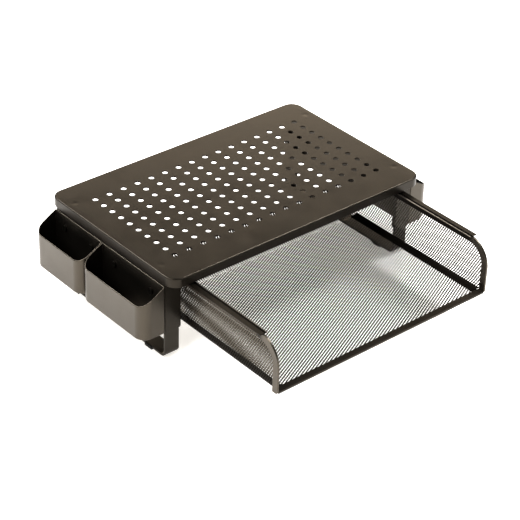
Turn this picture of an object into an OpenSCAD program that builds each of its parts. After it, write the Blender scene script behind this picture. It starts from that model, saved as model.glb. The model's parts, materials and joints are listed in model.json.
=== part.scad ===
// Monitor riser stand: a vented sheet-metal deck on two height-adjustable U-shaped legs,
// with two open bins on each side and a wire-mesh drawer that slides out at the front.
// Millimetres. +Z is up, the drawer opens towards -Y, and Z = 0 is the table top.
// The origin is the middle of the box around the whole stand, with the drawer pulled out.

/* [Deck] */
// Width of the deck
deck_w = 378.4; // [360:1:400]
// Depth of the deck
deck_d = 236; // [230:1:250]
// Height of the deck's top face above the table at the lowest setting
deck_top = 115; // [111:0.5:122]
// Thickness of the deck's sheet
deck_t = 1.2; // [1:0.1:1.5]
// Depth of the flange folded down all round the deck
flange_h = 12; // [10:0.5:14]
// Radius of the deck's corners
corner_r = 15; // [10:1:20]

/* [Vent holes] */
// Number of holes across the deck
hole_cols = 16; // [6:1:16]
// Number of holes from front to back
hole_rows = 10; // [4:1:10]
// Distance between holes across the deck
hole_pitch_x = 20.5; // [18:0.5:21]
// Distance between holes from front to back
hole_pitch_y = 16.75; // [15:0.25:18]
// Diameter of a vent hole
hole_d = 7; // [5:0.5:8]

/* [Legs] */
// Width of the flat bar that a leg is bent from
bar_w = 19.6; // [18:0.1:20]
// Thickness of the flat bar
bar_t = 3; // [2.5:0.1:3.2]
// Outside radius of a leg's lower bends
bend_r = 8; // [4:0.5:10]
// Distance from the deck's middle to the front face of the leg sleeves
leg_front = 102.5; // [95:0.5:105]
// Distance from the deck's middle to the rear face of the leg sleeves
leg_back = 105.5; // [95:0.5:108]
// How far the deck can be raised
lift = 40; // [20:5:45]
// Thickness of the rubber feet under the bar
foot_t = 2; // [1.6:0.1:4]

/* [Bins] */
// How far a bin stands out from the side of the stand
bin_w = 32.3; // [25:0.1:45]
// Height of the underside of the bins, the sleeves and the side plates
bin_z = 37.5; // [36.5:0.5:42]
// Height of a bin's rim at the side plate
rim_in = 100; // [92:0.5:101.5]
// Height of a bin's rim at its outer wall
rim_out = 81.5; // [68:0.5:88]
// Length of a front bin
front_bin_l = 116.8; // [90:0.1:125]
// Length of a rear bin
rear_bin_l = 92.3; // [70:0.1:100]
// Gap between the two bins on one side
bin_gap = 0.4; // [0.4:0.1:8]
// Radius of a bin's outer corners
bin_r = 14; // [8:1:15]
// Thickness of the bins' sheet
bin_t = 1; // [0.8:0.1:1.2]

/* [Drawer] */
// Width over the drawer's side strips
drawer_w = 320; // [310:1:320]
// Length of the drawer from front to back
drawer_l = 220; // [200:1:222]
// Height of the underside of the drawer
drawer_z = 33.8; // [32.5:0.1:35.5]
// Height of the drawer's side strips
drawer_h = 65.3; // [60:0.1:65.5]
// How far the drawer is pulled out from its closed place
pulled_out = 150; // [100:5:155]
// How far the drawer travels from closed to its stop
drawer_travel = 160; // [155:1:165]
// Radius of the rounded front top corner of a side
side_r = 31; // [20:1:40]
// Radius of the bend between the mesh floor and a mesh side
mesh_r = 8; // [5:0.5:10]
// Width of the steel strip round the edge of a side
strip_w = 8.5; // [6:0.5:10]
// Thickness of that strip
strip_t = 2.4; // [2:0.1:2.6]
// Thickness of the mesh sheet
mesh_t = 0.6; // [0.5:0.1:1]

/* [Hidden] */
$fn = 48;

eps = 0.01;                        // overrun of a cutting shape
play = 0.2;                        // gap on each side of a sliding fit
over = 1;                          // how far a cutting shape reaches past a face
black = [0.23, 0.21, 0.18];        // powder coat
steel = [0.62, 0.62, 0.60];        // zinc-plated fasteners
rubber = [0.08, 0.08, 0.08];

half_w = deck_w / 2;
half_d = deck_d / 2;
deck_under = deck_top - deck_t;
sheet = 1.2;                       // thickness of the sleeves and the side plates' tabs
plate_t = 1;                       // thickness of the side plates
side_x = half_w - plate_t;         // outer face of a side plate, inner face of the flange
cavity_x = side_x - plate_t;       // outer side of the space for a leg bar
bar_x = cavity_x - play - bar_w;   // inner edge of a leg bar
sleeve_x = bar_x - play - sheet;   // inner face of a sleeve
sleeve_w = side_x - 0.3 - sleeve_x;
sleeve_d = 2 * sheet + bar_t + 2 * play;
sleeve_r = 3;                      // radius of a sleeve's lower inner corner
plate_front = -leg_front + sheet;
plate_back = leg_back - sheet - 1.5;

bar_front_y = plate_front + play;
bar_back_y = leg_back - sheet - play;
tongue_w = bar_w - 2.6;            // part of the bar that runs in the sleeve
tongue_top = deck_top - 8.5;
shoulder_z = bin_z - 1;
shoulder_r = 2;
groove_w = 6;
groove_t = 0.6;
clamp_z = bin_z + 15;              // height of the clamp screws
clamp_x = bar_x + bar_w / 2;

screw_d = 4;
screw_hole = screw_d + 0.4;
nut_hole = screw_d + 0.1;
nut_t = 3.2;
nut_d = 8.1;                       // across the corners
square_nut_w = 7;
square_nut_t = 3;
stud_x = cavity_x - 10;
stud_y = 82;
stud_l = 7;
tab_w = 17;                        // width of a side plate's tab under the deck

foot_l = 13;
foot_wall = 1;
foot_lip = 2;                      // how far a foot reaches up the bar's edges
foot_inset = 32.5;                 // from a sleeve's face to the middle of a foot

rear_bin_y = -leg_front + front_bin_l + bin_gap;
rim_slope = atan((rim_in - rim_out) / bin_w);
screw_z = bin_z + 46;              // height of the bin screws
front_screw_inset = 24;            // from a bin's end to a screw
rear_screw_inset = 20;

front_y = -half_d + 5.5 - pulled_out;      // front of the drawer
back_y = front_y + drawer_l;
drawer_top = drawer_z + drawer_h;
front_bar_t = 3;                   // thickness of the drawer's front bar
mesh_z = drawer_z + 1.2;           // underside of the mesh floor
mesh_w = drawer_w - strip_t + mesh_t;
floor_strip_t = 1.2;
floor_strip_w = 12;
runner_t = 1.2;
runner_in = drawer_w / 2 - 4;
runner_out = drawer_w / 2 + 4.2;
runner_front = front_y + 26;
stop_w = 4.8;
stop_h = 5;

rail_x = runner_out + 0.4;         // inner face of a rail's web
rail_t = 1;
rail_len = deck_d - 10;
rail_tab = 6;
lip_in = drawer_w / 2 + 1;
lip_z = drawer_top - 0.1;          // top of the lip that a runner slides on
guide_t = 0.8;
guide_len = 58;
guide_h = 8;
guide_z = drawer_top + runner_t + 0.3;
spare = drawer_travel - pulled_out;
guide_rear = back_y - runner_t - spare - 0.3;
bumper_w = 3.4;
bumper_h = 8;

// Y of the deck's middle, which centres the whole stand on the origin
deck_y = (-front_y - half_d) / 2;

// Moves a shape drawn about the deck's middle to its place
module place() { translate([0, deck_y, 0]) children(); }

// Copies a right-hand shape to the left-hand side
module left() { mirror([1, 0, 0]) children(); }

module rounded_rect(w, d, r) {
    square([w - 2 * r, d], center = true);
    square([w, d - 2 * r], center = true);
    for (x = [-1, 1], y = [-1, 1])
        translate([x * (w / 2 - r), y * (d / 2 - r)]) circle(r);
}

// Deck: a shallow tray turned upside down, with the vent holes
module deck_panel() {
    color(black) place() difference() {
        translate([0, 0, deck_top - flange_h])
            linear_extrude(flange_h) rounded_rect(deck_w, deck_d, corner_r);
        translate([0, 0, deck_top - flange_h - over])
            linear_extrude(flange_h + over - deck_t)
                rounded_rect(deck_w - 2 * plate_t, deck_d - 2 * plate_t, corner_r - plate_t);
        for (i = [0 : hole_cols - 1], j = [0 : hole_rows - 1])
            translate([(i - (hole_cols - 1) / 2) * hole_pitch_x,
                       (j - (hole_rows - 1) / 2) * hole_pitch_y, deck_under - over])
                cylinder(d = hole_d, h = deck_t + 2 * over, $fn = 24);
    }
}

// Area between two uprights, from z0 to z1, with rounded lower corners
module u_area(y0, y1, z0, z1, r) {
    translate([y0, z0 + r]) square([y1 - y0, z1 - z0 - r]);
    translate([y0 + r, z0]) square([y1 - y0 - 2 * r, z1 - z0]);
    for (y = [y0 + r, y1 - r]) translate([y, z0 + r]) circle(r);
}

// Side view of a leg's flat bar: a U with rounded lower bends
module bar_u() {
    t = bar_t;
    difference() {
        u_area(bar_front_y, bar_back_y, foot_t, tongue_top, bend_r);
        u_area(bar_front_y + t, bar_back_y - t, foot_t + t, tongue_top + over, bend_r - t);
    }
}

// Front view of a leg's flat bar: full width below, rounded shoulders, a narrower tongue above
module bar_front() {
    r = shoulder_r;
    square([bar_w, shoulder_z - r]);
    translate([r, 0]) square([bar_w - 2 * r, shoulder_z]);
    for (x = [r, bar_w - r]) translate([x, shoulder_z - r]) circle(r);
    translate([(bar_w - tongue_w) / 2, 0]) square([tongue_w, tongue_top]);
}

module leg_bar() {
    color(black) place() difference() {
        intersection() {
            translate([bar_x, 0, 0]) rotate([90, 0, 90]) linear_extrude(bar_w) bar_u();
            translate([bar_x, leg_back, 0]) rotate([90, 0, 0])
                linear_extrude(leg_front + leg_back) bar_front();
        }
        // grooves for the tips of the clamp screws, in the faces that look into the stand
        for (y = [bar_front_y + bar_t - groove_t, bar_back_y - bar_t - over])
            translate([clamp_x - groove_w / 2, y, clamp_z - 5])
                cube([groove_w, groove_t + over, lift + 10]);
    }
}

// Rubber feet that clip round the bar's edges
module feet() {
    w = bar_w + 2 * foot_wall;
    color(rubber) place() for (y = [-leg_front + foot_inset, leg_back - foot_inset])
        translate([bar_x - foot_wall, y - foot_l / 2, 0]) difference() {
            cube([w, foot_l, foot_t + foot_lip]);
            translate([foot_wall, -over, foot_t]) cube([bar_w, foot_l + 2 * over, foot_lip + over]);
        }
}

// Side plate: hangs from the deck inside its flange and carries the bins and sleeves
module side_plate() {
    tab_front = -leg_front + sleeve_d + 1;
    tab_back = leg_back - sleeve_d - 1;
    color(black) place() difference() {
        union() {
            translate([cavity_x, plate_front, bin_z])
                cube([plate_t, plate_back - plate_front, deck_under - bin_z]);
            translate([cavity_x - tab_w, tab_front, deck_under - sheet])
                cube([tab_w + eps, tab_back - tab_front, sheet]);
        }
        for (y = [-stud_y, stud_y]) translate([stud_x, y, deck_under - sheet - over])
            cylinder(d = screw_hole, h = sheet + 2 * over);
        at_bin_screws() translate([0, 0, -over]) cylinder(d = screw_hole, h = plate_t + 2 * over);
    }
}

// Sleeve: a C-shaped channel that guides the tongue, closed by the side plate
module sleeve_front() {
    r = sleeve_r;
    difference() {
        square([sleeve_w, deck_under - bin_z]);
        square([r, r]);
    }
    translate([r, r]) intersection() {
        circle(r);
        translate([-r, -r]) square(r);
    }
}

module sleeve() {
    z = bin_z + sleeve_r;
    h = deck_under - z;
    color(black) difference() {
        union() {
            translate([sleeve_x, plate_front, bin_z]) rotate([90, 0, 0])
                linear_extrude(sheet) sleeve_front();
            translate([sleeve_x, plate_front - eps, z]) cube([sheet, sleeve_d - sheet + eps, h]);
            translate([sleeve_x, -leg_front + sleeve_d - sheet, z])
                cube([cavity_x - sleeve_x, sheet, h]);
        }
        translate([clamp_x, -leg_front + sleeve_d + over, clamp_z]) rotate([90, 0, 0])
            cylinder(d = screw_d + 0.2, h = sheet + 2 * over);
    }
}

// The rear sleeve is the front one turned to face the other way
module front_sleeve() { place() sleeve(); }
module rear_sleeve() { place() translate([0, leg_back - leg_front, 0]) mirror([0, 1, 0]) sleeve(); }

// Copies a screw from the front sleeve to all four sleeves
module at_clamps() {
    for (m = [0, 1]) mirror([m, 0, 0]) {
        translate([clamp_x, -leg_front + sleeve_d, clamp_z]) rotate([-90, 0, 0]) children();
        translate([clamp_x, leg_back - sleeve_d, clamp_z]) rotate([90, 0, 0]) children();
    }
}

module clamp_nuts() {
    w = square_nut_w;
    color(steel) place() at_clamps() difference() {
        translate([-w / 2, -w / 2, 0]) cube([w, w, square_nut_t]);
        translate([0, 0, -over]) cylinder(d = nut_hole, h = square_nut_t + 2 * over);
    }
}

// Cross recess in the head of a screw
module cross(l, w, z) {
    for (a = [0, 90]) rotate(a) translate([-l / 2, -w / 2, z]) cube([l, w, 2]);
}

module clamp_screws() {
    tip = sheet + 0.4;             // from the nut's seat to the end of the shank
    head_z = square_nut_t + 0.5;
    color(steel) place() at_clamps() difference() {
        union() {
            translate([0, 0, -tip]) cylinder(d = screw_d, h = tip + head_z + 0.5);
            translate([0, 0, head_z]) cylinder(d = 8, h = 2.6);
        }
        cross(4.8, 0.9, head_z + 1.4);
    }
}

// Plan of a bin: square corners at the side plate, rounded corners outside
module bin_plan(w, l, r) {
    square([w - r, l]);
    translate([0, r]) square([w, l - 2 * r]);
    for (y = [r, l - r]) translate([w - r, y]) circle(r);
}

module bin(l) {
    t = bin_t;
    difference() {
        linear_extrude(rim_in - bin_z) bin_plan(bin_w, l, bin_r);
        translate([t, t, t]) linear_extrude(rim_in) bin_plan(bin_w - 2 * t, l - 2 * t, bin_r - t);
        translate([0, -over, rim_in - bin_z]) rotate([0, rim_slope, 0])
            cube([2 * bin_w, l + 2 * over, bin_w * 2]);
    }
}

// Axes of the bin screws, along X through a bin's inner wall and the side plate
module at_bin_screws() {
    front = [front_screw_inset, front_bin_l - front_screw_inset];
    rear = [rear_screw_inset, rear_bin_l - rear_screw_inset];
    for (y = [for (a = front) a - leg_front, for (a = rear) a + rear_bin_y])
        translate([cavity_x, y, screw_z]) rotate([0, 90, 0]) children();
}

module drilled_bin(y, l) {
    color(black) place() difference() {
        translate([side_x, y, bin_z]) bin(l);
        at_bin_screws() translate([0, 0, -over])
            cylinder(d = screw_hole, h = plate_t + bin_t + 2 * over);
    }
}
module front_bin() { drilled_bin(-leg_front, front_bin_l); }
module rear_bin() { drilled_bin(rear_bin_y, rear_bin_l); }

module both_sides() { for (m = [0, 1]) mirror([m, 0, 0]) children(); }

// Pan-head screws inside the bins, with nuts on the inner face of the side plates
module bin_screws() {
    head = plate_t + bin_t;
    shank = nut_t + 0.8;           // from the side plate's inner face to the end of the shank
    color(black) place() both_sides() at_bin_screws() difference() {
        union() {
            translate([0, 0, -shank]) cylinder(d = screw_d, h = shank + head + 0.5);
            translate([0, 0, head]) cylinder(d = 7.6, h = 2.2);
        }
        cross(4.4, 0.8, head + 1.2);
    }
}

module nut() {
    translate([0, 0, -nut_t]) difference() {
        cylinder(d = nut_d, h = nut_t, $fn = 6);
        translate([0, 0, -over]) cylinder(d = nut_hole, h = nut_t + 2 * over);
    }
}

module bin_nuts() { color(steel) place() both_sides() at_bin_screws() nut(); }

// Studs welded under the deck, which hold the side plates' tabs
module at_studs() { both_sides() for (y = [-stud_y, stud_y]) translate([stud_x, y, 0]) children(); }

module plate_studs() {
    color(steel) place() at_studs() translate([0, 0, deck_under - stud_l])
        cylinder(d = screw_d, h = stud_l);
}

module stud_nuts() { color(steel) place() at_studs() translate([0, 0, deck_under - sheet]) nut(); }

// Rail under the deck: a tab, a web and a lip that the drawer's runner slides on
module slide_rail() {
    z = lip_z - rail_t;
    color(black) place() translate([0, -rail_len / 2, 0]) {
        translate([rail_x, 0, z]) cube([rail_t, rail_len, deck_under - z]);
        translate([lip_in, 0, z]) cube([rail_x - lip_in + eps, rail_len, rail_t]);
        translate([rail_x - rail_tab, 0, deck_under - rail_t]) cube([rail_tab + eps, rail_len, rail_t]);
    }
}

// Guide over the runner at the front of the rail, which keeps the open drawer level
module rail_guide() {
    color(black) place() translate([0, guide_rear - guide_len, guide_z]) {
        translate([rail_x - guide_t, 0, 0]) cube([guide_t, guide_len, guide_h]);
        translate([rail_x - rail_tab, 0, 0]) cube([rail_tab - guide_t + eps, guide_len, guide_t]);
    }
}

// Rubber bumpers that stop the closed drawer
module drawer_bumpers() {
    y = back_y + pulled_out + 0.3;
    color(rubber) place() both_sides()
        translate([rail_x - bumper_w, y, lip_z]) cube([bumper_w, rail_len / 2 - y, bumper_h]);
}

// Side view of a drawer side: straight, with one large rounded corner at the front top
module side_view(inset) {
    r = side_r - inset;
    y0 = front_y + inset;
    z0 = drawer_z + inset;
    l = drawer_l - inset;
    h = drawer_h - 2 * inset;
    translate([y0, z0]) square([l, h - r]);
    translate([y0 + r, z0]) square([l - r, h]);
    translate([y0 + r, z0 + h - r]) circle(r, $fn = 96);
}

// Strip round the top and front edges of a drawer side
module edge_strip() {
    color(black) place() translate([drawer_w / 2 - strip_t, 0, 0]) rotate([90, 0, 90])
        linear_extrude(strip_t) difference() {
            side_view(0);
            side_view(strip_w);
            translate([front_y + strip_w, drawer_z - 1]) square([drawer_l, strip_w + 2]);
        }
}

// Mesh tray: floor and both sides, bent from one sheet and set between the strips
module tray_section(w, r, z0) {
    translate([-w / 2 + r, z0]) square([w - 2 * r, drawer_h + 20]);
    translate([-w / 2, z0 + r]) square([w, drawer_h + 20]);
    for (x = [-w / 2 + r, w / 2 - r]) translate([x, z0 + r]) circle(r);
}

module drawer_mesh_tray() {
    color(black) place() intersection() {
        translate([0, back_y - mesh_t, 0]) rotate([90, 0, 0])
            linear_extrude(drawer_l - strip_w - mesh_t) difference() {
                tray_section(mesh_w, mesh_r, mesh_z);
                tray_section(mesh_w - 2 * mesh_t, mesh_r - mesh_t, mesh_z + mesh_t);
            }
        translate([-drawer_w / 2, 0, 0]) rotate([90, 0, 90]) linear_extrude(drawer_w) {
            side_view(strip_w);
            translate([front_y + strip_w, drawer_z]) square([drawer_l, drawer_h / 2]);
        }
    }
}

// Mesh back panel, behind the tray
module drawer_mesh_back() {
    color(black) place() translate([0, back_y, 0]) rotate([90, 0, 0]) linear_extrude(mesh_t)
        intersection() {
            tray_section(mesh_w, mesh_r, mesh_z);
            translate([-drawer_w / 2, 0]) square([drawer_w, drawer_top - strip_w]);
        }
}

// Bar across the bottom of the open front
module drawer_front_bar() {
    w = drawer_w - 2 * strip_t;
    color(black) place() translate([-w / 2, front_y, drawer_z]) cube([w, strip_w, front_bar_t]);
}

// Bar along the top of the back panel
module drawer_rear_bar() {
    w = drawer_w - 2 * strip_t;
    color(black) place() translate([-w / 2, back_y - strip_t, drawer_top - strip_w])
        cube([w, strip_t, strip_w]);
}

// Bent strip inside the bend between the mesh floor and a mesh side
module floor_strip() {
    t = floor_strip_t;
    w = mesh_w - 2 * mesh_t;
    r = mesh_r - mesh_t;
    z = mesh_z + mesh_t;
    color(black) place() translate([0, back_y - mesh_t - 0.5, 0]) rotate([90, 0, 0])
        linear_extrude(drawer_l - strip_w - mesh_t - 0.5) intersection() {
            difference() {
                tray_section(w, r, z);
                tray_section(w - 2 * t, r - t, z + t);
            }
            translate([w / 2 - floor_strip_w, z]) square([floor_strip_w, t + 1.8]);
        }
}

// Runner: a flat strip on top of a drawer side, which slides on the rail
module runner() {
    color(black) place() translate([runner_in, runner_front, drawer_top])
        cube([runner_out - runner_in, back_y - runner_front, runner_t]);
}

// Tabs at the rear of the runners, which meet the guides when the drawer is fully open
module drawer_stop_tabs() {
    color(black) place() both_sides()
        translate([rail_x - rail_tab, back_y - runner_t, drawer_top + runner_t])
            cube([stop_w, runner_t, stop_h]);
}

left() leg_bar();  // left_leg_bar
left() feet();  // left_feet
leg_bar();  // right_leg_bar
feet();  // right_feet
deck_panel();
left() side_plate();  // left_side_plate
side_plate();  // right_side_plate
left() front_sleeve();  // left_front_sleeve
left() rear_sleeve();  // left_rear_sleeve
front_sleeve();  // right_front_sleeve
rear_sleeve();  // right_rear_sleeve
left() front_bin();  // left_front_bin
left() rear_bin();  // left_rear_bin
front_bin();  // right_front_bin
rear_bin();  // right_rear_bin
left() slide_rail();  // left_slide_rail
slide_rail();  // right_slide_rail
left() rail_guide();  // left_rail_guide
rail_guide();  // right_rail_guide
drawer_bumpers();
clamp_nuts();
clamp_screws();
bin_screws();
bin_nuts();
plate_studs();
stud_nuts();
drawer_mesh_tray();
drawer_mesh_back();
drawer_front_bar();
drawer_rear_bar();
left() edge_strip();  // drawer_left_edge_strip
edge_strip();  // drawer_right_edge_strip
left() floor_strip();  // drawer_left_floor_strip
floor_strip();  // drawer_right_floor_strip
left() runner();  // drawer_left_runner
runner();  // drawer_right_runner
drawer_stop_tabs();
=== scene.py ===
import json
import math

import bmesh
import bpy
from mathutils import Matrix, Vector
from mathutils.geometry import delaunay_2d_cdt


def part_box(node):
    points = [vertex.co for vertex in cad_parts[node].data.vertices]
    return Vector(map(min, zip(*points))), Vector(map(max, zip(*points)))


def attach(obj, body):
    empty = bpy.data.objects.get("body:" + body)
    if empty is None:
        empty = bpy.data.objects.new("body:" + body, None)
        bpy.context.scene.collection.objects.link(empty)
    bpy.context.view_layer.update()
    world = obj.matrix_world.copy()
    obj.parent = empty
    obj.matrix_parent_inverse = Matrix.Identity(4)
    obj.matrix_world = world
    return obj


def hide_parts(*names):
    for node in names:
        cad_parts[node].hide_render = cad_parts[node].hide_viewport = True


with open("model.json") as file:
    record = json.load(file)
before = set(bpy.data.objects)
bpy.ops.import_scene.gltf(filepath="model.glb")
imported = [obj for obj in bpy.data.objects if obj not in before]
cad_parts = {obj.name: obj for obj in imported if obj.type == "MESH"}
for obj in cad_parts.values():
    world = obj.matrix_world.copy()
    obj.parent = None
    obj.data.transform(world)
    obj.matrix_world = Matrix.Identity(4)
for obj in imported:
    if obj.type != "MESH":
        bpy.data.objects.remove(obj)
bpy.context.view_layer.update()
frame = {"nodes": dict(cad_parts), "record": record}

# A vented monitor riser of black powder-coated sheet steel, with open side bins and a mesh drawer.
# Metres, +Z up, the drawer opens towards -Y. Places come from the frame's nodes.

# ---------------------------------------------------------------- sizes

ARC_STEPS = 8             # segments of a sheet's corner, of a bin's lip and of a runner's bead
BEND_STEPS = 5            # segments of a sharp bend
LIP_STEPS = 6             # segments of the flange's lip and of a hem's lower end
HOLE_STEPS = 28           # segments round a vent hole
CURVE_STEPS = 24          # segments round a weld mark, and of a hem's large corner
EDGE_STEPS = 3            # segments of a rounded edge
MERGE = 1e-6              # distance under which two vertices are one

SHEET = 0.0012            # the deck's top
FLANGE_T = 0.001
DECK_CORNER = 0.015
DECK_FILLET = 0.0016      # bend between the deck's top and its flange
HOLE_COLS, HOLE_ROWS = 16, 10
HOLE_PITCH_X, HOLE_PITCH_Y = 0.0205, 0.01675
HOLE_R = 0.0035
HOLE_EDGE = 0.0003        # rounding of a punched edge
DIMPLE_AT = (0.1772, 0.082)     # the weld marks, from the deck's middle
DIMPLE_R = 0.006
DIMPLE_RINGS = 4          # rings of vertices that shape a mark
DIMPLE_DEPTH = 0.00016

BIN_T = 0.001
BIN_CORNER = 0.014
BIN_INNER_CORNER = 0.0015
BIN_FILLET = 0.0014       # bend between a bin's walls and its floor
BIN_RIM_DROP = 0.0185     # how much lower the rim is at the outer wall

MESH_T = 0.00035
FLOOR_STRAND_W = (0.0015, 0.0003)     # width of the rising strands, and of the falling ones
WALL_STRAND_W = (0.0004, 0.0015)
STRAND_TWIST = 0.00020    # how far a strand leans out of the sheet
WALL_BEND = 0.008         # bend between the mesh floor and a mesh side
FLOOR_LAP = 0.0015        # how far the floor's mesh runs on into that bend
STRIP_W = 0.0085          # width of a side's hem
STRIP_TOP_W = 0.0045      # and of its outer layer along the top
STRIP_TAPER = 0.007       # length over which that layer narrows
STRIP_END_R = 0.003       # rounding of the hem's lower end
STRIP_EDGE = 0.0004       # rounding of its edges
SIDE_CORNER = 0.031       # large rounded corner at a side's front top
TUCK = 0.0016             # how far the mesh reaches into the strips that hem it
BEAD_IN = 0.0021          # how far a runner's bead stands inwards of the runner's plate
BEAD_W = 0.0012           # its width
GROOVE = 0.0009           # depth of the groove beside it
GROOVE_W = 0.0032
NICK = 0.0001             # smallest step in a runner's outline

# Degrees above which an edge is drawn as an edge.
SHARP = 38.0
STRAND_SHARP = 30.0
HEM_SHARP = 25.0
ROUND_SHARP = 30.0        # and above which a modifier rounds it

# Rounding of the edges of the CAD pieces that stay, by their slot.
CAD_EDGES = {"frame_coat": 0.0004, "drawer_coat": 0.0005, "rubber": 0.0004, "zinc": 0.00025,
             "black_screw": 0.00025}

# ---------------------------------------------------------------- materials

COAT_SHEEN = (1.0, 0.86, 0.68)     # warm tint of the coat's reflections
PAINTED_SHADE_GLOSS = 0.12                        # specular level where the coat's sheen fades, which paints shade there
MESH_SHADE_FADE = ("Z", 0.050, 0.053)    # painted shade: the mesh sides lose their sheen below this height, where the bend lies in shade
HEM_SHADE_FADE = ("Y", -0.158, -0.166)   # painted shade: the hems lose their sheen behind their large corner, where the runner shades them

# The darkest and the lightest tone of each coat.
BLACK = ((0.005, 0.004, 0.003), (0.008, 0.006, 0.004))
# painted shade: near-black tones for the runner's groove and the floor strips, which lie in shade
PAINTED_SHADE_BLACK = ((0.003, 0.0025, 0.002), (0.005, 0.004, 0.003))
BIN_BLACK = ((0.004, 0.0035, 0.003), (0.006, 0.005, 0.004))
SCREW_BLACK = ((0.004, 0.004, 0.003), (0.008, 0.007, 0.006))
# painted highlight: a lighter tone for the runner's bead, standing for the light along it
BEAD_HIGHLIGHT_BLACK = ((0.03, 0.027, 0.024), (0.045, 0.04, 0.035))


class Shader:
    """Short names for building one material's nodes."""

    def __init__(self, name):
        self.material = bpy.data.materials.new(name)
        self.material.use_nodes = True
        self.nodes = self.material.node_tree.nodes
        self.links = self.material.node_tree.links
        self.bsdf = self.nodes["Principled BSDF"]
        self.place = self.nodes.new("ShaderNodeTexCoord").outputs["Object"]

    def set(self, **values):
        for key, value in values.items():
            self.bsdf.inputs[key.replace("_", " ")].default_value = value

    def noise(self, scale, detail=2.0, rough=0.5):
        node = self.nodes.new("ShaderNodeTexNoise")
        node.inputs["Scale"].default_value = scale
        node.inputs["Detail"].default_value = detail
        node.inputs["Roughness"].default_value = rough
        self.links.new(self.place, node.inputs["Vector"])
        return node.outputs["Fac"]

    def ramp(self, factor, low, high, start=0.3, end=0.7):
        """Maps factor from start..end to low..high, which are both numbers or both colours."""
        if isinstance(low, tuple):
            node = self.nodes.new("ShaderNodeMix")
            node.data_type = "RGBA"
            node.inputs["A"].default_value = (*low, 1)
            node.inputs["B"].default_value = (*high, 1)
            part = self.ramp(factor, 0.0, 1.0, start, end)
            self.links.new(part, node.inputs["Factor"])
            return node.outputs["Result"]
        node = self.nodes.new("ShaderNodeMapRange")
        settings = {"From Min": start, "From Max": end, "To Min": low, "To Max": high}
        for key, value in settings.items():
            node.inputs[key].default_value = value
        self.links.new(factor, node.inputs["Value"])
        return node.outputs["Result"]

    def bump(self, height, strength, distance, normal=None):
        node = self.nodes.new("ShaderNodeBump")
        node.inputs["Strength"].default_value = strength
        node.inputs["Distance"].default_value = distance
        self.links.new(height, node.inputs["Height"])
        if normal:
            self.links.new(normal, node.inputs["Normal"])
        return node.outputs["Normal"]

    def to(self, output, key):
        self.links.new(output, self.bsdf.inputs[key])


def powder_coat(name, gloss, tones=BLACK, rough=(0.28, 0.36), grain=0.5, fade=None):
    """Baked powder coat: a warm black with a fine orange-peel skin and faint unevenness.

    gloss is its specular level. fade is (axis, dull end, glossy end): on one side of a line
    the coat's sheen fades to the dull level, which paints shade there.
    """
    s = Shader(name)
    s.set(Specular_IOR_Level=gloss, Specular_Tint=(*COAT_SHEEN, 1))
    # painted shade: past the line the specular level falls to the dull level
    if fade:
        split = s.nodes.new("ShaderNodeSeparateXYZ")
        s.links.new(s.place, split.inputs["Vector"])
        s.to(s.ramp(split.outputs[fade[0]], PAINTED_SHADE_GLOSS, gloss, *fade[1:]), "Specular IOR Level")
    s.to(s.ramp(s.noise(14.0, 3.0), *tones), "Base Color")
    s.to(s.ramp(s.noise(40.0, 2.0), *rough), "Roughness")
    peel = s.bump(s.noise(950.0, 2.0), grain, 0.00005)
    s.to(s.bump(s.noise(3200.0, 1.0), grain * 0.7, 0.00002, peel), "Normal")
    return s.material


def zinc(name):
    """Zinc-plated steel: pale grey metal with a cloudy passivated skin."""
    s = Shader(name)
    s.set(Metallic=1.0)
    s.to(s.ramp(s.noise(420.0, 3.0), (0.42, 0.43, 0.43), (0.62, 0.61, 0.58)), "Base Color")
    s.to(s.ramp(s.noise(900.0, 2.0), 0.26, 0.42), "Roughness")
    s.to(s.bump(s.noise(2600.0, 2.0), 0.3, 0.00003), "Normal")
    return s.material


def rubber(name):
    """Matt black rubber with a fine grain."""
    s = Shader(name)
    s.set(Specular_IOR_Level=0.3)
    s.to(s.ramp(s.noise(260.0, 2.0), (0.014, 0.014, 0.013), (0.03, 0.029, 0.027)), "Base Color")
    s.to(s.ramp(s.noise(500.0, 2.0), 0.65, 0.85), "Roughness")
    s.to(s.bump(s.noise(1800.0, 3.0), 0.5, 0.00006), "Normal")
    return s.material


COATS = {
    "deck_coat": powder_coat("deck_powder_coat", 0.36),
    "frame_coat": powder_coat("frame_powder_coat", 0.37),
    "bin_coat": powder_coat("bin_powder_coat", 0.86, BIN_BLACK),
    # painted highlight: the bead's lighter, glossy coat makes its bright line
    "bead_highlight_coat": powder_coat("bead_powder_coat", 1.0, BEAD_HIGHLIGHT_BLACK),
    "drawer_coat": powder_coat("drawer_powder_coat", 0.3),
    "mesh": powder_coat("mesh_powder_coat", 0.25, grain=0.2),
    # painted shade: the mesh sides' sheen fades low down, near the bend
    "mesh_wall": powder_coat("mesh_side_powder_coat", 1.0, grain=0.2, fade=MESH_SHADE_FADE),
    # painted shade: the hems' sheen fades behind their large corner
    "strip_coat": powder_coat("strip_powder_coat", 1.0, fade=HEM_SHADE_FADE),
    "wing_coat": powder_coat("runner_powder_coat", 0.3),
    # painted shade: a near-black, dull coat for the runner's groove and the floor strips
    "painted_shade_coat": powder_coat("painted_shade_powder_coat", 0.05, PAINTED_SHADE_BLACK, rough=(0.5, 0.6)),
    "rubber": rubber("rubber"),
    "zinc": zinc("zinc_plate"),
    "black_screw": powder_coat("black_oxide", 0.1, SCREW_BLACK),
}

# ---------------------------------------------------------------- mesh building


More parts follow.
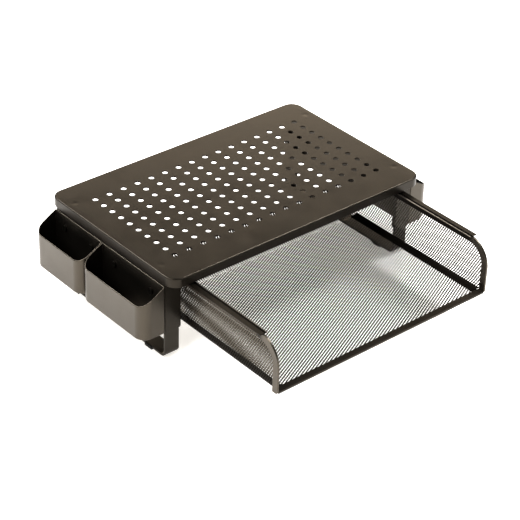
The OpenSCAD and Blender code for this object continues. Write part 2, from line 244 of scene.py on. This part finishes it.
def piece(name, vertices, faces, body, slot, replaces=(), sharp=SHARP, coat=None, soften=0.0):
    """Makes a closed smooth-shaded mesh piece that rides on a body and stands for CAD nodes.

    Its finish is the slot's, unless another coat is named. soften rounds its sharp edges.
    """
    bm = bmesh.new()
    made = [bm.verts.new(v) for v in vertices]
    for face in faces:
        bm.faces.new([made[i] for i in face])
    bmesh.ops.remove_doubles(bm, verts=bm.verts, dist=MERGE)
    bmesh.ops.recalc_face_normals(bm, faces=bm.faces)
    for face in bm.faces:
        face.smooth = True
    for edge in bm.edges:
        edge.smooth = len(edge.link_faces) == 2 and edge.calc_face_angle() < math.radians(sharp)
    mesh = bpy.data.meshes.new(name)
    bm.to_mesh(mesh)
    bm.free()
    mesh.materials.append(COATS[coat or slot])
    made_piece = bpy.data.objects.new(name, mesh)
    bpy.context.scene.collection.objects.link(made_piece)
    if soften:
        round_edges(made_piece, soften)
    weigh_normals(made_piece)
    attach(made_piece, body)
    if replaces:
        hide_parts(*replaces)


def round_edges(thing, radius):
    """Rounds a thing's sharp edges as the coat does."""
    modifier = thing.modifiers.new("edge", "BEVEL")
    modifier.width = radius
    modifier.segments = EDGE_STEPS
    modifier.limit_method = "ANGLE"
    modifier.angle_limit = math.radians(ROUND_SHARP)
    modifier.use_clamp_overlap = True


def weigh_normals(thing):
    """Keeps flat faces flat beside their rounded edges."""
    modifier = thing.modifiers.new("normals", "WEIGHTED_NORMAL")
    modifier.keep_sharp = True
    modifier.weight = 100


def circle(x, y, radius, steps):
    angles = [2 * math.pi / steps * k for k in range(steps)]
    return [(x + radius * math.cos(a), y + radius * math.sin(a)) for a in angles]


def arc(x, y, radius, start, end, steps):
    """Points on part of a circle, from one angle to another, in degrees."""
    angles = [math.radians(start + (end - start) * k / steps) for k in range(steps + 1)]
    return [(x + radius * math.cos(a), y + radius * math.sin(a)) for a in angles]


def rounded_loop(x0, x1, y0, y1, radii, inset=0.0):
    """Points round a rectangle whose corners, from x0,y0 anticlockwise, have these radii."""
    corners = ((x0, y0, 180), (x1, y0, 270), (x1, y1, 0), (x0, y1, 90))
    points = []
    for (x, y, start), radius in zip(corners, radii):
        middle_x = x + radius * (1 if x == x0 else -1)
        middle_y = y + radius * (1 if y == y0 else -1)
        points += arc(middle_x, middle_y, radius - inset, start, start + 90, ARC_STEPS)
    return points


def bend(radius):
    """(inset, rise) along a quarter bend, from the flat face to the upright one."""
    angles = [math.pi / 2 * k / BEND_STEPS for k in range(BEND_STEPS + 1)]
    return [(radius * (1 - math.sin(a)), radius * (1 - math.cos(a))) for a in angles]


def join_rings(count, size, first=0):
    """Quads between rings of vertices that follow each other."""
    faces = []
    for ring in range(count - 1):
        a, b = first + ring * size, first + (ring + 1) * size
        for k in range(size):
            n = (k + 1) % size
            faces.append((a + k, a + n, b + n, b + k))
    return faces


def sheet_edge(thick, steps):
    """(inset, depth) round the half circle that ends a sheet, from its outer face to its inner."""
    angles = [math.pi * k / steps for k in range(steps + 1)]
    return [(thick / 2 * (1 - math.cos(a)), thick / 2 * (1 - math.sin(a))) for a in angles]


def extrude(outline, ends, place):
    """Vertices and faces of an outline pushed from one end to the other and closed there."""
    vertices = [place(end, point) for end in ends for point in outline]
    size = len(outline)
    return vertices, join_rings(2, size) + [list(range(size)), [size + k for k in range(size)]]


def flat_sheet(loop, holes, hole_r, marks=()):
    """Triangles that fill a loop, leaving round holes open and following rings of marks."""
    loops = [list(loop)]
    loops += [circle(x, y, hole_r, HOLE_STEPS) for x, y in holes]
    for x, y, radius in marks:
        loops += [circle(x, y, radius * k / DIMPLE_RINGS, CURVE_STEPS)
                  for k in range(1, DIMPLE_RINGS + 1)]
    points, edges = [], []
    for ring in loops:
        start = len(points)
        points += [Vector(p) for p in ring]
        edges += [(start + k, start + (k + 1) % len(ring)) for k in range(len(ring))]
    points += [Vector((x, y)) for x, y, radius in marks]
    found, _, faces, _, _, _ = delaunay_2d_cdt(points, edges, [], 1, MERGE / 10)
    reach = (hole_r * 0.9) ** 2
    centres = {(round(x, 4), round(y, 4)) for x, y in holes}
    kept = []
    for face in faces:
        middle = sum((found[i] for i in face), Vector((0, 0))) / len(face)
        column = round((middle.x - DECK_X) / HOLE_PITCH_X - 0.5) + 0.5
        row = round((middle.y - DECK_Y) / HOLE_PITCH_Y - 0.5) + 0.5
        x, y = DECK_X + column * HOLE_PITCH_X, DECK_Y + row * HOLE_PITCH_Y
        inside = (middle.x - x) ** 2 + (middle.y - y) ** 2 < reach
        if not (inside and (round(x, 4), round(y, 4)) in centres):
            kept.append(face)
    return found, kept


# ---------------------------------------------------------------- deck

deck_low, deck_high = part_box("deck_panel")
DECK_X = (deck_low.x + deck_high.x) / 2
DECK_Y = (deck_low.y + deck_high.y) / 2
DECK_Z = deck_high.z


def make_deck():
    """The deck: a bent sheet with rounded edges, punched holes and faint weld marks."""
    def loop(inset):
        radii = (DECK_CORNER,) * 4
        return rounded_loop(deck_low.x, deck_high.x, deck_low.y, deck_high.y, radii, inset)

    outer = [(inset, DECK_Z - rise) for inset, rise in bend(DECK_FILLET)]
    lower = [(inset, deck_low.z + depth) for inset, depth in sheet_edge(FLANGE_T, LIP_STEPS)]
    inside = bend(DECK_FILLET - FLANGE_T)[::-1]
    inner = [(FLANGE_T + inset, DECK_Z - SHEET - rise) for inset, rise in inside]
    rings = outer + lower + inner
    vertices = [(x, y, z) for inset, z in rings for x, y in loop(inset)]
    faces = join_rings(len(rings), len(loop(0)))

    holes = [(DECK_X + (i - (HOLE_COLS - 1) / 2) * HOLE_PITCH_X,
              DECK_Y + (j - (HOLE_ROWS - 1) / 2) * HOLE_PITCH_Y)
             for i in range(HOLE_COLS) for j in range(HOLE_ROWS)]
    dimples = [(DECK_X + sx * DIMPLE_AT[0], DECK_Y + sy * DIMPLE_AT[1], DIMPLE_R)
               for sx in (-1, 1) for sy in (-1, 1)]

    def height(x, y):
        """The top's height, which dips at the weld marks."""
        for cx, cy, radius in dimples:
            part = math.hypot(x - cx, y - cy) / radius
            if part < 1:
                return DECK_Z - DIMPLE_DEPTH * (1 + math.cos(math.pi * part)) / 2
        return DECK_Z

    mouth = HOLE_R + HOLE_EDGE
    top, top_faces = flat_sheet(loop(DECK_FILLET), holes, mouth, dimples)
    start = len(vertices)
    vertices += [(p.x, p.y, height(p.x, p.y)) for p in top]
    faces += [[start + i for i in face] for face in top_faces]
    under, under_faces = flat_sheet(loop(rings[-1][0]), holes, HOLE_R)
    start = len(vertices)
    vertices += [(p.x, p.y, DECK_Z - SHEET) for p in under]
    faces += [[start + i for i in face] for face in under_faces]
    for x, y in holes:
        start = len(vertices)
        wall = [(mouth, DECK_Z), (HOLE_R + HOLE_EDGE * 0.3, DECK_Z - HOLE_EDGE * 0.3),
                (HOLE_R, DECK_Z - HOLE_EDGE), (HOLE_R, DECK_Z - SHEET)]
        for radius, z in wall:
            vertices += [(px, py, z) for px, py in circle(x, y, radius, HOLE_STEPS)]
        faces += join_rings(len(wall), HOLE_STEPS, start)
    piece("deck_shell", vertices, faces, "deck", "deck_coat", ["deck_panel"])


# ---------------------------------------------------------------- bins


def make_bin(node):
    """A bin bent from sheet: rounded outer corners, a rolled rim that slopes down outwards."""
    low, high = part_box(node)
    side = 1 if high.x > 0 else -1
    inner, outer = (low.x, high.x) if side > 0 else (high.x, low.x)
    width = abs(outer - inner)

    def rim(x):
        return high.z - BIN_RIM_DROP * abs(x - inner) / width

    rings = [(inset, low.z + rise, None) for inset, rise in bend(BIN_FILLET)]
    rings += [(inset, None, depth) for inset, depth in sheet_edge(BIN_T, ARC_STEPS)]
    inside = bend(BIN_FILLET - BIN_T)[::-1]
    rings += [(BIN_T + inset, low.z + BIN_T + rise, None) for inset, rise in inside]
    radii = (BIN_INNER_CORNER, BIN_CORNER, BIN_CORNER, BIN_INNER_CORNER)
    vertices = []
    for inset, z, drop in rings:
        for u, y in rounded_loop(0, width, low.y, high.y, radii, inset):
            x = inner + side * u
            vertices.append((x, y, rim(x) - drop if z is None else z))
    size = 4 * (ARC_STEPS + 1)
    faces = join_rings(len(rings), size)
    faces.append(list(range(size)))
    faces.append([len(vertices) - size + k for k in range(size)])
    piece(node + "_shell", vertices, faces, "deck", "bin_coat", [node])


# ---------------------------------------------------------------- drawer mesh


def strands(name, place, inside, spans, pitch, skew, widths, coat, replaces=()):
    """Expanded steel mesh: a sheet of slanting diamonds whose strands lean like louvres.

    place(u, v, n) gives a point of the sheet, n along its normal, and inside(u, v) says what is
    kept. spans is ((u0, u1), (v0, v1)), pitch is (half of a diamond's length, its width), and
    widths are those of the rising and of the falling strands.
    """
    half_l, width = pitch
    (u0, u1), (v0, v1) = spans
    middle_u, middle_v = (u0 + u1) / 2, (v0 + v1) / 2
    rising = Vector((half_l, width / 2 - skew))
    falling = Vector((half_l, -width / 2 - skew))
    cell = half_l * width
    open_falling = 1 - widths[0] * rising.length / cell
    open_rising = 1 - widths[1] * falling.length / cell
    half_rising, half_falling = rising * open_rising / 2, falling * open_falling / 2
    hole = (-half_rising - half_falling, half_falling - half_rising,
            half_rising + half_falling, half_rising - half_falling)

    def knot(i, j):
        return middle_u + i * half_l, middle_v + (j + i / 2) * width - i * skew

    vertices, faces, shared = [], [], {}

    def shared_knot(i, j):
        """The two vertices, below and above, of the knot that four strands meet at."""
        if (i, j) not in shared:
            shared[i, j] = len(vertices)
            u, v = knot(i, j)
            vertices.extend([place(u, v, -MESH_T / 2), place(u, v, MESH_T / 2)])
        return shared[i, j]

    columns = int((u1 - u0) / half_l / 2) + 2
    for i in range(-columns - 1, columns):
        rows = int((v1 - v0) / width / 2) + 3
        base = round(-i / 2)
        for j in range(base - rows, base + rows):
            corners = [(i, j), (i + 1, j - 1), (i + 2, j - 1), (i + 1, j)]
            points = [knot(*c) for c in corners]
            u, v = sum(p[0] for p in points) / 4, sum(p[1] for p in points) / 4
            if not inside(u, v):
                continue
            ring = [shared_knot(*c) for c in corners]
            leans = (0, -STRAND_TWIST, 0, STRAND_TWIST)
            start = len(vertices)
            for (du, dv), lean in zip(hole, leans):
                below, above = lean - MESH_T / 2, lean + MESH_T / 2
                vertices.extend([place(u + du, v + dv, below), place(u + du, v + dv, above)])
            for k in range(4):
                n = (k + 1) % 4
                a, b = start + 2 * k, start + 2 * n
                faces.append((ring[k], ring[n], b, a))
                faces.append((ring[k] + 1, a + 1, b + 1, ring[n] + 1))
                faces.append((a, b, b + 1, a + 1))
    piece(name, vertices, faces, "drawer", "mesh", replaces, sharp=STRAND_SHARP, coat=coat)


tray_low, tray_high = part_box("drawer_mesh_tray")
strip_low, strip_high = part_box("drawer_right_edge_strip")
MESH_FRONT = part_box("drawer_front_bar")[1].y - TUCK
MESH_BACK = tray_high.y - MESH_T
FLOOR_Z = tray_low.z + MESH_T / 2
WALL_X = tray_high.x - MESH_T / 2
WALL_TOP = strip_high.z - STRIP_TOP_W + TUCK
BEND_R = WALL_BEND - MESH_T / 2
FLOOR_PITCH = (0.003145, 0.003413)    # half of a diamond's length, and its width
FLOOR_SKEW = 0.000225                 # how far each column of diamonds is set back
WALL_PITCH = (0.00312, 0.00328)


def make_floor_mesh():
    edge = WALL_X - BEND_R + FLOOR_LAP

    def place(u, v, n):
        return u, v, FLOOR_Z + n

    def inside(u, v):
        return abs(u) < edge and MESH_FRONT < v < MESH_BACK

    spans = ((-edge, edge), (MESH_FRONT, MESH_BACK))
    strands("drawer_floor_mesh", place, inside, spans, FLOOR_PITCH, FLOOR_SKEW, FLOOR_STRAND_W,
            "mesh", ["drawer_mesh_tray"])


def make_side_mesh(side, name):
    """A side's sheet, which starts in the bend at the floor and ends in the strip at the top."""
    curved = BEND_R * math.pi / 2
    rise = FLOOR_Z + BEND_R

    def place(u, v, n):
        r = BEND_R - n
        if u < curved:
            a = u / BEND_R
            x, z = WALL_X - BEND_R + r * math.sin(a), rise - r * math.cos(a)
        else:
            x, z = WALL_X - n, rise + u - curved
        return side * x, v, z

    def inside(u, v):
        z = rise + u - curved
        if not (0 < u and z < WALL_TOP and MESH_FRONT < v < MESH_BACK):
            return False
        middle_y, middle_z = strip_low.y + SIDE_CORNER, strip_high.z - SIDE_CORNER
        reach = SIDE_CORNER - STRIP_W + TUCK
        corner = v < middle_y and z > middle_z
        return not corner or math.hypot(v - middle_y, z - middle_z) < reach

    spans = ((0, WALL_TOP - rise + curved), (MESH_FRONT, MESH_BACK))
    strands(name, place, inside, spans, WALL_PITCH, 0.0, WALL_STRAND_W, "mesh_wall")


def make_back_mesh():
    low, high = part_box("drawer_mesh_back")
    y = (low.y + high.y) / 2

    def place(u, v, n):
        return v, y + n, u

    def inside(u, v):
        if not (low.z < u < high.z + TUCK and abs(v) < high.x - MESH_T):
            return False
        reach = high.x - WALL_BEND
        corner = abs(v) > reach and u < low.z + WALL_BEND
        return not corner or math.hypot(abs(v) - reach, u - low.z - WALL_BEND) < WALL_BEND

    spans = ((low.z, high.z), (low.x, high.x))
    strands("drawer_back_mesh", place, inside, spans, WALL_PITCH, 0.0, WALL_STRAND_W,
            "mesh_wall", ["drawer_mesh_back"])


# ---------------------------------------------------------------- hems and runners


def make_hem(node):
    """The hem of a side: it runs up the front, round the large corner and back along the top.

    Its two layers hold the mesh between them, and the outer one is narrower along the top.
    """
    low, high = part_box(node)
    middle_y, middle_z = low.y + SIDE_CORNER, high.z - SIDE_CORNER
    foot_y, foot_z = low.y + STRIP_END_R, low.z + STRIP_END_R
    side = 1 if high.x > 0 else -1
    inner, outer = (low.x, high.x) if side > 0 else (high.x, low.x)
    layers = (("outer", (side * WALL_X, outer), STRIP_TOP_W),
              ("inner", (inner, side * WALL_X), STRIP_W))
    for layer, ends, top_w in layers:
        outline = arc(foot_y, foot_z, STRIP_END_R, 270, 180, LIP_STEPS)
        outline += arc(middle_y, middle_z, SIDE_CORNER, 180, 90, CURVE_STEPS)
        top_z = high.z - top_w
        outline += [(high.y, high.z), (high.y, top_z), (middle_y + STRIP_TAPER, top_z)]
        outline += arc(middle_y, middle_z, SIDE_CORNER - STRIP_W, 90, 180, CURVE_STEPS)
        outline += [(low.y + STRIP_W, low.z)]
        vertices, faces = extrude(outline, ends, lambda x, point: (x, *point))
        replaced = [node] if layer == "outer" else []
        # the strip coat paints shade on the hem behind its large corner
        piece(node + "_" + layer, vertices, faces, "drawer", "drawer_coat", replaced,
              sharp=HEM_SHARP, coat="strip_coat", soften=STRIP_EDGE)


def make_runner(node):
    """A rolled runner: a shiny bead along its inner edge, lighter as a painted highlight, a groove
    dark as painted shade, and a flat wing outside.
    """
    low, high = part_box(node)
    side = 1 if high.x > 0 else -1
    inner = (low.x if side > 0 else high.x) - side * BEAD_IN
    width, thick = high.x - low.x + BEAD_IN, high.z - low.z
    r = thick - NICK
    bead = arc(r, NICK, r, 180, 90, ARC_STEPS)
    bead += [(BEAD_W, thick - NICK), (BEAD_W, 0.0), (2 * NICK, 0.0)]
    wing_at = BEAD_W + GROOVE_W
    groove = [(BEAD_W - NICK, 0.0), (BEAD_W - NICK, thick - GROOVE),
              (wing_at + NICK, thick - GROOVE), (wing_at + NICK, 0.0)]
    wing = [(wing_at, 0.0), (wing_at, thick - 2 * NICK), (wing_at + 2 * NICK, thick),
            (width - 3 * NICK, thick), (width, thick - 3 * NICK), (width, 0.0)]
    # the bead's coat paints a highlight, and the groove's coat paints shade
    parts = (("bead", bead, "bead_highlight_coat"), ("groove", groove, "painted_shade_coat"),
             ("wing", wing, "wing_coat"))
    for part, profile, coat in parts:
        vertices, faces = extrude(profile, (low.y, high.y),
                                  lambda y, point: (inner + side * point[0], y, low.z + point[1]))
        replaced = [node] if part == "wing" else []
        piece(node + "_" + part, vertices, faces, "drawer", "drawer_coat", replaced, coat=coat)


# ---------------------------------------------------------------- CAD pieces that stay


def dress(node, coat, radius):
    """Gives a CAD node its finish, and rounds its edges as the coat does."""
    thing = frame["nodes"][node]
    thing.data.materials.clear()
    thing.data.materials.append(COATS[coat])
    weld = thing.modifiers.new("weld", "WELD")
    weld.merge_threshold = MERGE
    flat = thing.modifiers.new("flat", "DECIMATE")
    flat.decimate_type = "DISSOLVE"
    flat.angle_limit = math.radians(1)
    round_edges(thing, radius)
    weigh_normals(thing)


def dress_nodes():
    """Finishes the CAD nodes that no made piece stands for."""
    slots = {s["node"]: s["material_slot"] for s in frame["record"]["subparts"]}
    for node in frame["nodes"]:
        slot = slots[node]
        if slot in CAD_EDGES and not node.endswith(("_runner", "_edge_strip")):
            # painted shade: the floor strips take the near-black dull coat
            coat = "painted_shade_coat" if node.endswith("_floor_strip") else slot
            dress(node, coat, CAD_EDGES[slot])


# ---------------------------------------------------------------- studio

CAMERA_AT = (-1.2198, -1.37295, 1.2396)
CAMERA_TURN = (41.04, 33.04, 1.81)    # azimuth, elevation and roll in degrees
CAMERA_LENS = 128.2
CAMERA_SHIFT = -0.001                 # upright shift of the picture
FLOOR_REACH = 12.0
FLOOR_GLOW = 0.8          # the white floor is lit from below too, which keeps its shadows faint
WORLD_GLOW = 0.25
LIGHTS_AIM = (0.0, 0.0, 0.05)
PICTURE_GAMMA = 0.85      # deepens the darks, as the contrast of a product picture does


def make_camera():
    """The viewpoint: from the front left, looking down on the stand with a long lens."""
    azimuth, elevation, roll = map(math.radians, CAMERA_TURN)
    data = bpy.data.cameras.new("camera")
    data.lens = CAMERA_LENS
    data.sensor_width = 36.0
    data.clip_start, data.clip_end = 0.05, 60.0
    data.shift_y = CAMERA_SHIFT
    camera = bpy.data.objects.new("camera", data)
    bpy.context.scene.collection.objects.link(camera)
    turn = (Matrix.Rotation(-azimuth, 4, "Z") @ Matrix.Rotation(math.pi / 2 - elevation, 4, "X")
            @ Matrix.Rotation(roll, 4, "Z"))
    camera.matrix_world = Matrix.Translation(CAMERA_AT) @ turn
    bpy.context.scene.camera = camera


def make_floor():
    """Plain pale paper, far wider than the picture."""
    mesh = bpy.data.meshes.new("floor")
    r = FLOOR_REACH
    mesh.from_pydata([(-r, -r, 0), (r, -r, 0), (r, r, 0), (-r, r, 0)], [], [(0, 1, 2, 3)])
    floor = bpy.data.objects.new("floor", mesh)
    bpy.context.scene.collection.objects.link(floor)
    s = Shader("floor_paper")
    s.set(Specular_IOR_Level=0.1, Roughness=0.9)
    s.to(s.ramp(s.noise(3.0, 1.0), (0.78, 0.78, 0.78), (0.82, 0.82, 0.82)), "Base Color")
    s.set(Emission_Color=(1.0, 0.97, 0.92, 1), Emission_Strength=FLOOR_GLOW)
    mesh.materials.append(s.material)


def area_light(name, place, size, power, colour=(1, 1, 1)):
    data = bpy.data.lights.new(name, "AREA")
    data.shape = "RECTANGLE"
    data.size, data.size_y = size
    data.energy = power
    data.color = colour
    light = bpy.data.objects.new(name, data)
    light.location = place
    light.rotation_mode = "QUATERNION"
    towards = Vector(LIGHTS_AIM) - Vector(place)
    light.rotation_quaternion = towards.to_track_quat("-Z", "Y")
    bpy.context.scene.collection.objects.link(light)


def make_lights():
    world = bpy.data.worlds.new("studio")
    bpy.context.scene.world = world
    world.use_nodes = True
    background = world.node_tree.nodes["Background"]
    background.inputs["Color"].default_value = (1.0, 0.98, 0.95, 1)
    background.inputs["Strength"].default_value = WORLD_GLOW
    area_light("left_softbox", (-1.34, 0.0, 1.34), (1.2, 1.2), 28)
    area_light("back_softbox", (-0.57, 1.43, 1.8), (0.8, 0.8), 60)
    area_light("right_softbox", (1.27, -0.36, 1.95), (0.5, 0.5), 65)
    area_light("back_card", (1.97, 2.26, 1.0), (2.4, 0.8), 32, (1.0, 0.85, 0.66))


def make_stage():
    make_camera()
    make_floor()
    make_lights()
    view = bpy.context.scene.view_settings
    view.view_transform = "Standard"
    view.gamma = PICTURE_GAMMA


make_stage()
dress_nodes()
make_deck()
for corner in ("left_front_bin", "left_rear_bin", "right_front_bin", "right_rear_bin"):
    make_bin(corner)
make_floor_mesh()
make_side_mesh(-1, "drawer_left_mesh")
make_side_mesh(1, "drawer_right_mesh")
make_back_mesh()
for side in ("left", "right"):
    make_hem("drawer_" + side + "_edge_strip")
    make_runner("drawer_" + side + "_runner")
